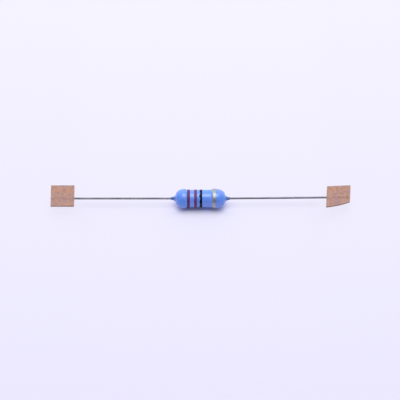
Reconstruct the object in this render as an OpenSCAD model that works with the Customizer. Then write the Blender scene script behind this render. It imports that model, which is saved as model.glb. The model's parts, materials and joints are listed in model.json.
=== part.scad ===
// Axial-lead film resistor, cut from its carrier tape with a tab of paper left on each lead.
// X runs along the leads, +Z is up, and the origin is the centre of the body, on its axis.
// The part lies on a level surface, on the bulges of its body and the rear edges of its tabs.

/* [Ceramic core] */
// Diameter of the ceramic rod
rod_d = 3.9; // [3:0.05:5]
// Length of the ceramic rod
rod_len = 10.8; // [9:0.1:16]

/* [Resistive film] */
// Thickness of the film on the rod
film_t = 0.05; // [0.03:0.01:0.1]
// Width of the spiral cut that sets the resistance
trim_w = 0.35; // [0.2:0.05:0.8]
// Turns of the spiral cut
trim_turns = 3; // [1:0.25:4]
// Uncut film between an end cap and the spiral
trim_margin = 0.5; // [0.2:0.05:1]

/* [End caps] */
// Wall of the pressed steel cap
cap_wall = 0.22; // [0.15:0.01:0.3]
// Length of the cap
cap_len = 2; // [1.5:0.05:3]
// Outer radius of the cap's corner
cap_corner = 0.6; // [0.5:0.05:0.8]
// Room between the cap's inner corner and the chamfered end of the rod
corner_clear = 0.05; // [0.02:0.01:0.2]

/* [Leads] */
// Diameter of the tinned wire
lead_d = 0.5; // [0.4:0.05:0.8]
// Diameter of the weld at the cap
weld_d = 1; // [0.9:0.05:1.6]
// Height of the weld
weld_h = 0.3; // [0.1:0.05:0.6]
// Distance that the wire stops short of the tape's outer edge
lead_inset = 0.3; // [0:0.05:1]
// Angle of the right lead towards the rear, from a weld a little out of line, in degrees
lead_yaw = 0.7; // [0.2:0.05:1]

/* [Lacquer coating] */
// Thickness of the lacquer round the film and the caps
coat_t = 0.25; // [0.2:0.01:0.4]
// Thickness of the lacquer over the face of a cap
coat_end = 0.6; // [0.5:0.05:1]
// Length of the rounded shoulder at each end
shoulder_len = 2.3; // [1.8:0.05:2.4]
// Diameter of the flat left at each end, where the lacquer starts up the wire
end_d = 2.25; // [1.4:0.05:3]
// Length of the slope from the waist to the left bulge
ramp_left = 0.35; // [0.3:0.05:3]
// Length of the slope from the waist to the right bulge
ramp_right = 1.6; // [0.3:0.05:3]
// Thickness of the lacquer drawn out along a lead
sleeve_t = 0.1; // [0.05:0.01:0.2]
// Length of lacquer along a lead
sleeve_len = 1.35; // [0.6:0.05:3]
// Distance over which the meniscus at the lead falls to about a third
meniscus_len = 0.35; // [0.1:0.01:0.6]

/* [Colour bands] */
// Thickness of the printed ink
ink_t = 0.04; // [0.03:0.01:0.1]
// Width of the two digit bands
digit_w = 0.72; // [0.4:0.02:1]
// Width of the multiplier band
multiplier_w = 0.62; // [0.4:0.02:1]
// Width of the tolerance band, which sits over the rim of the right cap
tolerance_w = 0.9; // [0.4:0.02:1.4]
// Distance of the tolerance band's middle from the rim of the right cap, towards the waist
tolerance_shift = 0.13; // [0:0.01:0.4]
// Gap from the rim of the left cap to the first digit band
first_gap = 0.26; // [0.1:0.01:0.5]
// Gap between the two digit bands
digit_gap = 1.06; // [0.4:0.02:1.4]
// Gap between the second digit and the multiplier band
multiplier_gap = 0.7; // [0.4:0.02:1.4]

/* [Carrier tape] */
// Clear distance between the two tapes
tape_gap = 64; // [45:0.5:75]
// Width of the tape
tape_w = 6; // [4:0.1:8]
// Thickness of one strip of paper
tape_t = 0.16; // [0.08:0.01:0.3]
// Width of the ridge that the wire raises in each strip
ridge_w = 2.2; // [1.4:0.1:3]
// Glue between the wire and the top of the ridge
glue_gap = 0.01; // [0.005:0.005:0.05]
// Length of the left tab behind the wire
left_rear = 6.2; // [5:0.05:8]
// Length of the left tab in front of the wire
left_front = 3.8; // [2:0.05:6]
// Length of the right tab behind the wire, at its inner edge
right_rear_inner = 5.4; // [5:0.05:8]
// Length of the right tab behind the wire, at its outer edge
right_rear_outer = 5.9; // [5:0.05:8]
// Length of the right tab in front of the wire, at its inner edge
right_front_inner = 4.85; // [2:0.05:6]
// Length of the right tab in front of the wire, at its outer edge
right_front_outer = 2.35; // [2:0.05:6]
// Rise of the scissor cut's curve over its chord, at the front of the right tab
cut_bow = 0.35; // [0:0.05:0.6]
// Lean of the right tape from square across its lead, in degrees
right_skew = 2.7; // [0:0.1:5]

/* [Hidden] */
$fn = 96;
TRIM_STEPS = 24;      // straight steps in one turn of the spiral cut
PROFILE_STEPS = 12;   // points on each curve of the coating's outline
RIDGE_STEPS = 20;     // points across the ridge in the tape
BOW_STEPS = 8;        // points along the curved scissor cut
SLEEVE_TIP = 0.25;    // share of the sleeve that thins out to the wire
TIP_T = 0.05;         // lacquer left at the very tip of the sleeve
WELD_ROOT = 0.02;     // how far inside its weld the wire starts
WELD_LIP = 0.05;      // flat ring left round the wire at the top of the weld
CUT_OVER = 0.2;       // how far a cutting shape runs past what it cuts

// Radii, from the rod outwards
film_r = rod_d / 2 + film_t;
cap_r = film_r + cap_wall;
lead_r = lead_d / 2;
waist_r = film_r + coat_t;
body_r = cap_r + coat_t;

// Distances from the middle of the body
rod_end = rod_len / 2;
cap_face = rod_end + cap_wall;
cap_rim = cap_face - cap_len;
body_end = cap_face + coat_end;
sleeve_end = body_end + sleeve_len;
lead_end = tape_gap / 2 + tape_w - lead_inset;

// The slope up to a bulge ends just past the cap's rim, or at the shoulder if that starts first
shoulder_start = body_end - shoulder_len;
ramp_top = min(cap_rim + coat_t / 2, shoulder_start);

// Inner corner of the pressed cap, and the chamfer on the rod that clears it
cap_inner_corner = max(0, cap_corner - cap_wall);
rod_chamfer = cap_inner_corner + corner_clear;

// The tolerance band is the widest ring of the body, so it sets the height at which the axis rests
rest_h = body_r + ink_t;

// ---- Shapes turned about the axis ----

// A half section, drawn as radius and distance along the body, turned about the X axis
module turned() {
    rotate([0, 90, 0]) rotate_extrude() children();
}

// A half section drawn for the right end, moved to the left one
module left_end() {
    mirror([0, 1]) children();
}

// The rod's half section, with a chamfer at both ends
module rod_section() {
    r = rod_d / 2;
    polygon([[0, -rod_end], [r - rod_chamfer, -rod_end], [r, rod_chamfer - rod_end],
        [r, rod_end - rod_chamfer], [r - rod_chamfer, rod_end], [0, rod_end]]);
}

// The outline of a cup with a rounded corner, from its rim out to its face
module cup_section(r, rim, face, corner) {
    translate([0, rim]) square([r, face - rim - corner]);
    translate([0, rim]) square([r - corner, face - rim]);
    if (corner > 0) translate([r - corner, face - corner]) circle(corner);
}

module cap_outline() {
    cup_section(cap_r, cap_rim, cap_face, cap_corner);
}

module cap_section() {
    difference() {
        cap_outline();
        cup_section(film_r, cap_rim - CUT_OVER, rod_end, cap_inner_corner);
    }
}

// The weld between the cap and the wire, which narrows to the wire
module weld_section() {
    polygon([[0, cap_face], [weld_d / 2, cap_face],
        [lead_r + WELD_LIP, cap_face + weld_h], [0, cap_face + weld_h]]);
}

// A value that glides from one level to another while share runs from 0 to 1
function glide(low, high, share) = low + (high - low) * (1 - cos(180 * share)) / 2;

// The outline of the lacquer from the middle of the body outwards, as radius and distance:
// the slope up to the bulge, the elliptic shoulder, the meniscus, and the sleeve on the wire
function coat_half(ramp) = let (sleeve_r = lead_r + sleeve_t, end_r = end_d / 2, n = PROFILE_STEPS,
        drawn = sleeve_len * (1 - SLEEVE_TIP)) [
    for (i = [0 : n]) [glide(waist_r, body_r, i / n), ramp_top - ramp + ramp * i / n],
    for (i = [0 : n]) [end_r + (body_r - end_r) * cos(90 * i / n),
        shoulder_start + shoulder_len * sin(90 * i / n)],
    for (i = [1 : n]) let (d = drawn * pow(i / n, 2))
        [sleeve_r + (end_r - sleeve_r) * exp(-d / meniscus_len), body_end + d],
    [lead_r + TIP_T, sleeve_end]
];

// The same outline for the left half, read from its far end inwards
function mirrored(points) = [for (i = [len(points) - 1 : -1 : 0]) [points[i][0], -points[i][1]]];

module coat_outline() {
    polygon(concat([[0, -sleeve_end]], mirrored(coat_half(ramp_left)), coat_half(ramp_right),
        [[0, sleeve_end]]));
}

// The film and the caps, as one filled outline for the lacquer to cover
module core_section() {
    translate([0, -rod_end]) square([film_r, rod_len]);
    cap_outline();
    left_end() cap_outline();
}

// A ring of ink on the lacquer, from a distance along the body and of a given width
module ink_ring(from, width) {
    turned() difference() {
        intersection() {
            translate([ink_t, 0]) coat_outline();
            translate([0, from]) square([rest_h + CUT_OVER, width]);
        }
        coat_outline();
    }
}

// ---- The spiral cut ----

// A ribbon of rectangular section along a helix about Z, from one height to another
module helix_ribbon(inner, outer, width, bottom, top, turns) {
    steps = round(turns * TRIM_STEPS);
    corner = [[inner, -width / 2], [outer, -width / 2], [outer, width / 2], [inner, width / 2]];
    points = [for (i = [0 : steps], c = corner) let (a = 360 * turns * i / steps)
        [c[0] * cos(a), c[0] * sin(a), bottom + (top - bottom) * i / steps + c[1]]];
    sides = [for (i = [0 : steps - 1], k = [0 : 3]) let (p = 4 * i + k, q = 4 * i + (k + 1) % 4)
        each [[p, q + 4, p + 4], [p, q, q + 4]]];
    last = 4 * steps;
    ends = [[0, 2, 1], [0, 3, 2], [last, last + 1, last + 2], [last, last + 2, last + 3]];
    polyhedron(points, concat(sides, ends));
}

// ---- The leads ----

// Moves a shape drawn for a lead along +X, from the middle of its cap's face, onto the left lead
module on_left_lead() {
    mirror([1, 0, 0]) translate([cap_face, 0, 0]) children();
}

// The same for the right lead, which stands a little out of line
module on_right_lead() {
    translate([cap_face, 0, 0]) rotate([0, 0, lead_yaw]) children();
}

// The bare wire, from its root in the weld to its end in the tape
module wire() {
    translate([WELD_ROOT, 0, 0]) rotate([0, 90, 0])
        cylinder(h = lead_end - cap_face - WELD_ROOT, r = lead_r);
}

// ---- The paper tabs ----

// Tilt at which the rear edge of a tab touches what the part lies on
function tab_tilt(rear) = asin(rest_h / norm([rear, tape_t])) - atan(tape_t / rear);

// Height of the ridge over the plane where the two strips meet, across the wire
function ridge(v) = abs(v) >= ridge_w / 2 ? 0
    : (lead_r + glue_gap) * (1 + cos(360 * v / ridge_w)) / 2;

// Section of the upper strip across the wire, reach long each way
module strip_section(reach) {
    across = [for (i = [0 : RIDGE_STEPS]) ridge_w * (i / RIDGE_STEPS - 0.5)];
    v = concat([-reach], across, [reach]);
    last = len(v) - 1;
    polygon(concat([for (i = [0 : last]) [v[i], ridge(v[i])]],
        [for (i = [last : -1 : 0]) [v[i], ridge(v[i]) + tape_t]]));
}

// One strip of a tab: X runs out along the wire from the inner edge of the tape, and +Y is the rear
module strip(outline, lower) {
    reach = max([for (p = outline) norm(p)]) + CUT_OVER;
    mirror([0, 0, lower ? 1 : 0]) intersection() {
        translate([-reach, 0, 0]) rotate([90, 0, 90]) linear_extrude(2 * reach)
            strip_section(reach);
        linear_extrude(2 * reach, center = true) polygon(outline);
    }
}

// The left tab was cut square
left_outline = [[0, -left_front], [tape_w, -left_front], [tape_w, left_rear], [0, left_rear]];

// A point on a side edge of the right tab, which leans with the tape
function right_edge(u, v) = [u + v * tan(right_skew), v];

// The right tab was cut askew, with a bowed cut at the front
right_outline = let (from = right_edge(0, -right_front_inner),
        to = right_edge(tape_w, -right_front_outer), out = [to[1] - from[1], from[0] - to[0]]) [
    for (i = [0 : BOW_STEPS]) let (s = i / BOW_STEPS)
        from + (to - from) * s + out / norm(out) * cut_bow * 4 * s * (1 - s),
    right_edge(tape_w, right_rear_outer),
    right_edge(0, right_rear_inner)
];

module left_strip(lower) {
    color("#b8957c") on_left_lead() translate([tape_gap / 2 - cap_face, 0, 0])
        rotate([-tab_tilt(left_rear), 0, 0]) strip(left_outline, lower);
}

module right_strip(lower) {
    rear = max(right_rear_inner, right_rear_outer);
    color("#b8957c") on_right_lead() translate([tape_gap / 2 - cap_face, 0, 0])
        rotate([-tab_tilt(rear), 0, 0]) strip(right_outline, lower);
}

// ---- The pieces ----

module ceramic_rod() {
    color("#e8e4da") turned() rod_section();
}

module resistive_film() {
    edge = cap_rim - trim_margin - trim_w / 2;
    length = rod_len - 2 * rod_chamfer;
    color("#6f6a66") rotate([0, 90, 0]) difference() {
        cylinder(h = length, r = film_r, center = true);
        cylinder(h = length + 2 * CUT_OVER, d = rod_d, center = true);
        helix_ribbon(rod_d / 2 - CUT_OVER, film_r + CUT_OVER, trim_w, -edge, edge, trim_turns);
    }
}

module end_cap_left() {
    color("#b9bcc0") turned() left_end() cap_section();
}

module end_cap_right() {
    color("#b9bcc0") turned() cap_section();
}

module lead_left() {
    color("#8d8f94") {
        turned() left_end() weld_section();
        on_left_lead() wire();
    }
}

module lead_right() {
    color("#8d8f94") {
        turned() weld_section();
        on_right_lead() wire();
    }
}

module lacquer_coating() {
    color("#5c8fdc") difference() {
        turned() coat_outline();
        turned() core_section();
        lead_left();
        lead_right();
    }
}

first_from = -cap_rim + first_gap;
second_from = first_from + digit_w + digit_gap;

module band_first_digit() {
    color("#9c1f2e") ink_ring(first_from, digit_w);
}

module band_second_digit() {
    color("#9c1f2e") ink_ring(second_from, digit_w);
}

module band_multiplier() {
    color("#111318") ink_ring(second_from + digit_w + multiplier_gap, multiplier_w);
}

module band_tolerance() {
    color("#c9b87c") ink_ring(cap_rim - tolerance_shift - tolerance_w / 2, tolerance_w);
}

module tape_left_upper() { left_strip(lower = false); }
module tape_left_lower() { left_strip(lower = true); }
module tape_right_upper() { right_strip(lower = false); }
module tape_right_lower() { right_strip(lower = true); }

ceramic_rod();
resistive_film();
end_cap_left();
end_cap_right();
lead_left();
lead_right();
lacquer_coating();
band_first_digit();
band_second_digit();
band_multiplier();
band_tolerance();
tape_left_upper();
tape_left_lower();
tape_right_upper();
tape_right_lower();
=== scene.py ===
# %% [markdown]
# # A film resistor, cut from its carrier tape
#
# This lesson dresses a small electronic part: a blue axial resistor with its wires and the two
# tabs of kraft paper that it was cut out with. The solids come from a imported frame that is
# exact and never moves. Where a solid is hidden or already right, it stays and gets a finish.
# Where the real thing is dipped, drawn, printed or fibrous, a finer mesh takes its place.

# %% Load the fixed frame
import json
from math import asin, atan2, cos, exp, pi, radians, sin, tan

import bmesh
import bpy
from mathutils import Matrix, Vector, noise


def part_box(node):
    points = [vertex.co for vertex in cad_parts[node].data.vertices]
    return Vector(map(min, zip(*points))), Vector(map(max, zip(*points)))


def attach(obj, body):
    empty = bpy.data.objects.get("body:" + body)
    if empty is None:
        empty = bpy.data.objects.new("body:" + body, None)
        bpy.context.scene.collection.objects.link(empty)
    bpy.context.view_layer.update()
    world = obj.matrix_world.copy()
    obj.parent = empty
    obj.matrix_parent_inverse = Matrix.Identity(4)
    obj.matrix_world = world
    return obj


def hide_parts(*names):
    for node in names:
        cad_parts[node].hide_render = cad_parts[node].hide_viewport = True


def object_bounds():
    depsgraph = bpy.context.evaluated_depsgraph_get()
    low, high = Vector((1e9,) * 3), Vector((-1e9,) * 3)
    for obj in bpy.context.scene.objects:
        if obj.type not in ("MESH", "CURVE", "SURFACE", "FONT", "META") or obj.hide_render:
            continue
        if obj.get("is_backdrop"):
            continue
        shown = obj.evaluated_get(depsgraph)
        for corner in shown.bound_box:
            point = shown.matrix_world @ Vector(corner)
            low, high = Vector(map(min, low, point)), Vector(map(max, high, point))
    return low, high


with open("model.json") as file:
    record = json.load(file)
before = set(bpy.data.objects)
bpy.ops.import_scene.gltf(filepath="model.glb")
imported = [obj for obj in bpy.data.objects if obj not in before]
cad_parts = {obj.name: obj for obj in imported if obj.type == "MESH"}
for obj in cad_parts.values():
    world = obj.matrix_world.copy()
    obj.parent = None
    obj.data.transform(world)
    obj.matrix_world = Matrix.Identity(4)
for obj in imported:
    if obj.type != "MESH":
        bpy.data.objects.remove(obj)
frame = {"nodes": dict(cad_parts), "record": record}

cad_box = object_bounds()
nodes = frame["nodes"]
print("CAD nodes:", ", ".join(sorted(nodes)))

# %% [markdown]
# ## Sizes
#
# Blender counts in metres and the part is measured in millimetres, so a size below is a number
# of millimetres times `mm`. What the frame knows is read from it: the boxes of its nodes, and
# the mounts in its record. Only what a box can't tell is given beside its piece.

# %% Sizes read from the frame
mm = 0.001
mounts = {mount["name"]: mount for mount in frame["record"]["mounts"]}


def box_radius(node):
    """How far a turned node reaches from the X axis."""
    return -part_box(node)[0].z


lead_r = mounts["lead_left"]["dims"]["r_mm"] * mm
right_lead = Vector(mounts["lead_right"]["axis"])
lead_yaw = atan2(right_lead.y, right_lead.x)
sleeve_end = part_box("lacquer_coating")[1].x
bulge_r = box_radius("lacquer_coating")
ink_t = box_radius("band_tolerance") - bulge_r
waist_r = box_radius("band_multiplier") - ink_t
film_r = box_radius("resistive_film")
cap_r = box_radius("end_cap_right")
weld_r = box_radius("lead_left")
cap_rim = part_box("end_cap_right")[0].x
cap_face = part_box("end_cap_right")[1].x
wire_end = -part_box("lead_left")[0].x
floor_z = -box_radius("band_tolerance")
print(f"The body is {2 * bulge_r / mm:.2f} mm thick at its bulges and {2 * waist_r / mm:.2f} mm"
      f" at its waist, and each wire ends {wire_end / mm:.1f} mm from its middle")

# %% [markdown]
# ## One function for every node
#
# Shader trees and geometry trees are both made of nodes and links, so one small function
# serves them all. It takes the kind of node, what feeds its sockets, and its settings. A feed
# may be a number, a hex colour, a socket, or a whole node, whose first live output is then
# used. A node can hold a socket of each type under one name, and then the live one is fed.
# Colours are written as sRGB hex values, and a second function turns them to linear light.

# %% Colour and node helpers


def hex_colour(text):
    """An sRGB hex colour, such as #4D8EE4, as the linear RGBA that shaders need."""
    shares = [int(text[i:i + 2], 16) / 255 for i in (1, 3, 5)]
    return [c / 12.92 if c <= 0.04045 else ((c + 0.055) / 1.055) ** 2.4 for c in shares] + [1]


def add(tree, kind, feeds=None, **settings):
    """Adds a node with its settings, and feeds its sockets, which are given by name or number."""
    node = tree.nodes.new(kind)
    for name, value in settings.items():
        setattr(node, name, value)
    for label, value in (feeds or {}).items():
        live = [socket for socket in node.inputs if socket.enabled and socket.name == label]
        socket = live[0] if live else node.inputs[label]
        if isinstance(value, bpy.types.Node):
            value = next(output for output in value.outputs if output.enabled)
        if isinstance(value, bpy.types.NodeSocket):
            tree.links.new(value, socket)
        elif isinstance(value, str) and value.startswith("#"):
            socket.default_value = hex_colour(value)
        else:
            socket.default_value = value
    return node


print("Lacquer blue in linear light:", [round(c, 3) for c in hex_colour("#4D8EE4")])

# %% [markdown]
# ## What all finishes share
#
# Every finish is a material with one shader, so one function makes the material and leaves the
# shader to a function named for the real surface. Nearly every real surface is mottled: pigment
# gathers in clouds, ink skips, drawn metal is streaked and pulp clumps. Each of those could have
# its own trick. One noise was chosen for all of them, scaled to the real size of a blotch: the
# noise itself serves as height, and where it lies between two levels serves as colour.

# %% Making a finish, and mottling it


def make_finish(name, build, *choices, space="Object"):
    """A node material, whose shader the build function makes from a place in the given space."""
    material = bpy.data.materials.new(name)
    material.use_nodes = True
    tree = material.node_tree
    tree.nodes.clear()
    place = add(tree, "ShaderNodeTexCoord").outputs[space]
    add(tree, "ShaderNodeOutputMaterial", {"Surface": build(tree, place, *choices)})
    print("Made", name)
    return material


def mottle(tree, place, size, detail, low, high, most=1, roughness=0.5):
    """Blotches of a size: the noise, and how far it has come from low to high, up to most."""
    wave = add(tree, "ShaderNodeTexNoise", {
        "Vector": place, "Scale": 1 / size, "Detail": detail, "Roughness": roughness})
    share = add(tree, "ShaderNodeMapRange", {
        "Value": wave, "From Min": low, "From Max": high, "To Max": most})
    return wave, share


print("A noise with blotches of 1 mm has a scale of", round(1 / mm))

# %% [markdown]
# ## Blue lacquer
#
# The body of a film resistor is dipped, or rolled, in a pigmented epoxy and baked. Clear resin
# rises as it bakes, so a coat carries the gloss over a colour that is nearly matt, and a shallow
# bump of about half a millimetre gives it the skin of an orange. The pigment flocculates into
# soft clouds, so the colour drifts between a greener and a redder blue over a millimetre or two,
# with grains of filler in it. Where the lacquer thins out along the wire, the dark metal shows
# through, so the colour sinks towards the axis. A painted image could hold all this. Noise on
# Object coordinates was chosen because it has no seam on a round body and is scaled in
# millimetres.

# %% Blue lacquer
PEEL_SIZE = 0.5 * mm      # one dimple of the orange peel
CLOUD_SIZE = 1.6 * mm     # one cloud of pigment
GRAIN_SIZE = 0.09 * mm    # filler grains, drawn a little coarser than they are
THIN_R, THICK_R = 0.42 * mm, 0.85 * mm   # radii between which the lacquer covers the metal


def blue_lacquer(tree, place):
    """Dipped epoxy: clouded pigment under a clear glossy skin, with a faint peel."""
    _, clouded = mottle(tree, place, CLOUD_SIZE, 3, 0.35, 0.65)
    _, grainy = mottle(tree, place, GRAIN_SIZE, 1, 0.55, 0.75, most=0.35)
    flat = add(tree, "ShaderNodeVectorMath", {0: place, 1: (0, 1, 1)}, operation="MULTIPLY")
    radius = add(tree, "ShaderNodeVectorMath", {0: flat}, operation="LENGTH")
    thinness = add(tree, "ShaderNodeMapRange", {
        "Value": radius, "From Min": THICK_R, "From Max": THIN_R, "To Max": 0.8})
    colour = "#5A9CFF"
    for share, tone in ((clouded, "#7A9DFF"), (grainy, "#5080F0"), (thinness, "#3D577F")):
        colour = add(tree, "ShaderNodeMix", {"Factor": share, "A": colour, "B": tone},
                     data_type="RGBA")
    gloss = add(tree, "ShaderNodeMapRange", {"Value": clouded, "To Min": 0.36, "To Max": 0.46})
    peel = add(tree, "ShaderNodeTexNoise", {"Vector": place, "Scale": 1 / PEEL_SIZE, "Detail": 2})
    bump = add(tree, "ShaderNodeBump", {"Height": peel, "Distance": 0.01 * mm, "Strength": 0.8})
    return add(tree, "ShaderNodeBsdfPrincipled", {
        "Base Color": colour, "Roughness": gloss, "Normal": bump, "IOR": 1.5,
        "Specular IOR Level": 0.1, "Coat Weight": 1, "Coat Roughness": 0.16, "Coat IOR": 1.6})


lacquer_finish = make_finish("dipped_epoxy_lacquer", blue_lacquer)

# %% [markdown]
# ## Printed inks
#
# The bands are rolled on by rubber wheels while the body spins. Each is a film of ink a few
# hundredths of a millimetre thick, satin rather than glossy, and it prints thinner where the
# wheel has skipped over a grain. They could be painted into the lacquer's own colour, but real
# ink has an edge and a sheen of its own, so each band is a piece with its own finish. One
# function makes all three: the colour, the colour where the film is thin, a darker colour
# towards a band's left edge, and how metallic, rough and glossy it is. Black is the flattest.
# The pale gold one holds flakes of bronze.

# %% The inks
THIN_SIZE = 0.22 * mm     # one thin patch in the print
FLAKE_SIZE = 0.06 * mm    # one flake of the metallic ink, coarser than the real flakes


def printed_ink(tree, place, full, thin, left_edge_tone, metallic, roughness, gloss):
    """Rolled ink: satin, with thin patches, and darker towards a band's left edge, as the band's
    tree sets it.
    """
    patches, worn = mottle(tree, place, THIN_SIZE, 3, 0.5, 0.75, most=0.7)
    # The 'load' attribute holds how much darker the ink is towards the band's left edge.
    load = add(tree, "ShaderNodeAttribute", attribute_name="load").outputs["Fac"]
    colour = full
    for share, tone in ((worn, thin), (load, left_edge_tone)):
        colour = add(tree, "ShaderNodeMix", {"Factor": share, "A": colour, "B": tone},
                     data_type="RGBA")
    flakes = add(tree, "ShaderNodeTexVoronoi", {"Vector": place, "Scale": 1 / FLAKE_SIZE})
    rough = add(tree, "ShaderNodeMapRange", {
        "Value": flakes, "To Min": roughness, "To Max": roughness + 0.12})
    bump = add(tree, "ShaderNodeBump", {"Height": patches, "Distance": 0.006 * mm, "Strength": 0.7})
    return add(tree, "ShaderNodeBsdfPrincipled", {
        "Base Color": colour, "Metallic": metallic, "Roughness": rough, "Normal": bump,
        "Specular IOR Level": gloss})


red_finish = make_finish("dark_red_printing_ink", printed_ink,
                         "#7C326E", "#5C4088", "#241A48", 0, 0.4, 0.3)
black_finish = make_finish("black_printing_ink", printed_ink,
                           "#02082A", "#0A1848", "#02031A", 0, 0.36, 0.12)
gold_finish = make_finish("pale_gold_bronze_ink", printed_ink,
                          "#B4B4B6", "#8A8C9C", "#777270", 0.85, 0.4, 0.3)

# %% [markdown]
# ## Metals inside and out
#
# The leads are copper wire, drawn through dies and hot-dipped in tin, and the caps are pressed
# from thin steel strip and plated. Both are drawn along the part, so both show fine streaks
# along X. An anisotropic shader would only smear their highlight. A noise that is stretched far
# more along X than across gives the streaks one by one, as roughness and as a very shallow bump.
# The resistive film is a dull nickel-chrome, sputtered on the ceramic.

# %% Drawn and plated metals
STREAK_LENGTH = 2.5 * mm  # how far one drawing mark runs
STREAK_WIDTH = 0.06 * mm  # how wide it is


def streaked_metal(tree, place, bright, dull, roughness, depth):
    """Drawn metal: fine streaks along X, between a bright and a duller tone."""
    drawn = add(tree, "ShaderNodeMapping", {
        "Vector": place, "Scale": (1 / STREAK_LENGTH, 1 / STREAK_WIDTH, 1 / STREAK_WIDTH)})
    streaks, streaky = mottle(tree, drawn, 1, 2, 0.35, 0.65)
    colour = add(tree, "ShaderNodeMix", {"Factor": streaky, "A": bright, "B": dull},
                 data_type="RGBA")
    rough = add(tree, "ShaderNodeMapRange", {
        "Value": streaky, "To Min": roughness, "To Max": roughness + 0.15})
    bump = add(tree, "ShaderNodeBump", {"Height": streaks, "Distance": depth, "Strength": 0.6})
    return add(tree, "ShaderNodeBsdfPrincipled", {
        "Base Color": colour, "Metallic": 1, "Roughness": rough, "Normal": bump})


wire_finish = make_finish("hot_tinned_copper_wire", streaked_metal,
                          "#848489", "#616065", 0.2, 0.004 * mm)
cap_finish = make_finish("plated_pressed_steel", streaked_metal,
                         "#C9CACC", "#A9ABAF", 0.26, 0.004 * mm)
film_finish = make_finish("sputtered_nickel_chrome", streaked_metal,
                          "#7D756F", "#655F5B", 0.42, 0.001 * mm)

# %% [markdown]
# ## Fired ceramic
#
# The core is an extruded alumina rod, fired but not glazed. It is off-white and dead matt,
# with a grain that can be felt with a fingernail and a few darker specks. One fine noise serves
# for both: its peaks are the specks, and its slopes are the grain.

# %% Fired ceramic
CERAMIC_GRAIN = 0.12 * mm


def fired_ceramic(tree, place):
    """Unglazed alumina: matt, grainy, off-white."""
    grain, specks = mottle(tree, place, CERAMIC_GRAIN, 3, 0.62, 0.7)
    colour = add(tree, "ShaderNodeMix", {"Factor": specks, "A": "#ECE7DB", "B": "#C4BBA8"},
                 data_type="RGBA")
    bump = add(tree, "ShaderNodeBump", {"Height": grain, "Distance": 0.01 * mm, "Strength": 0.7})
    return add(tree, "ShaderNodeBsdfPrincipled", {
        "Base Color": colour, "Roughness": 0.75, "Normal": bump})


ceramic_finish = make_finish("fired_alumina_ceramic", fired_ceramic)

# %% [markdown]
# ## Kraft paper
#
# Carrier tape is unbleached kraft. Its fibres are about a millimetre long and lie within some
# forty degrees of the tape's length, which runs square to the wires. They clump into clouds, old
# ink leaves greyish stains in the pulp, and the heat-set glue shows through as a warmer stripe.
# One stretched noise would look like planed wood. So four are laid at different leans and
# averaged, which felts them. The pattern is drawn on the paper's own UV map, where one unit is
# one millimetre and V runs along the tape, so it stays true to the sheet however the tab tilts.

# %% Fibres of the paper
FIBRE_LENGTH = 0.7        # in units of the UV map, which are millimetres
FIBRE_WIDTH = 0.09        # a real fibre is a third of this, too fine to show
FIBRE_LEANS = (-38, -12, 14, 41)   # how the fibres lie, in degrees off the tape


def fibre_felt(tree, sheet):
    """Fibres that lie several ways: stretched noises, averaged."""
    total = 0
    for lean in FIBRE_LEANS:
        laid = add(tree, "ShaderNodeMapping", {
            "Vector": sheet, "Rotation": (0, 0, radians(lean)),
            "Scale": (FIBRE_WIDTH, FIBRE_LENGTH, 1)}, vector_type="TEXTURE")
        layer = add(tree, "ShaderNodeTexNoise", {
            "Vector": laid, "Scale": 1, "Detail": 3, "Distortion": 0.8})
        total = add(tree, "ShaderNodeMath", {0: total, 1: layer}, operation="ADD")
    return add(tree, "ShaderNodeMath", {0: total, 1: len(FIBRE_LEANS)}, operation="DIVIDE")


print(f"Fibres lie at {FIBRE_LEANS} degrees to the tape")

# %% Stripe of glue
GLUE_FROM, GLUE_TO = 2.6, 4.6   # the glue's stripe, from the wire, in the same units
GLUE_MIDDLE = (GLUE_FROM + GLUE_TO) / 2


def glue_share(tree, sheet, clouded):
    """How much of the glue shows through: a stripe along the wire's side, patchy as the pulp."""
    away = add(tree, "ShaderNodeSeparateXYZ", {0: sheet}).outputs["Y"]
    share = clouded
    for edge in (GLUE_FROM, GLUE_TO):
        inside = add(tree, "ShaderNodeMapRange", {
            "Value": away, "From Min": edge, "From Max": GLUE_MIDDLE},
            interpolation_type="SMOOTHSTEP")
        share = add(tree, "ShaderNodeMath", {0: share, 1: inside}, operation="MULTIPLY")
    return share


print(f"The glue lies {GLUE_FROM} to {GLUE_TO} mm behind the wire")

# %% Kraft paper
FORMATION = 1.1           # one cloud of fibres, in the same units
STAIN = 1.9               # one greyish stain
DARK_FIBRES = (0.5, 0.62, 0.75, "#82604F")   # levels of the felt, how strong, and their colour
PALE_FIBRES = (0.48, 0.36, 0.6, "#D4B4A2")


def kraft_paper(tree, sheet):
    """Unbleached kraft: matt brown, mottled and stained, with glue, and dark and pale fibres."""
    fibres = fibre_felt(tree, sheet)
    _, clouded = mottle(tree, sheet, FORMATION, 4, 0.35, 0.68, roughness=0.6)
    _, stained = mottle(tree, sheet, STAIN, 1, 0.5, 0.68, most=0.7)
    layers = [(clouded, "#BE9888"), (stained, "#A48088"),
              (glue_share(tree, sheet, clouded), "#C98968")]
    for low, high, most, tone in (DARK_FIBRES, PALE_FIBRES):
        share = add(tree, "ShaderNodeMapRange", {
            "Value": fibres, "From Min": low, "From Max": high, "To Max": most})
        layers.append((share, tone))
    colour = "#A47F6E"
    for share, tone in layers:
        colour = add(tree, "ShaderNodeMix", {"Factor": share, "A": colour, "B": tone},
                     data_type="RGBA")
    bump = add(tree, "ShaderNodeBump", {"Height": fibres, "Distance": 0.02 * mm, "Strength": 0.6})
    return add(tree, "ShaderNodeBsdfPrincipled", {
        "Base Color": colour, "Roughness": 0.88, "Normal": bump, "Specular IOR Level": 0.3})


paper_finish = make_finish("unbleached_kraft_paper", kraft_paper, space="UV")

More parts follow.
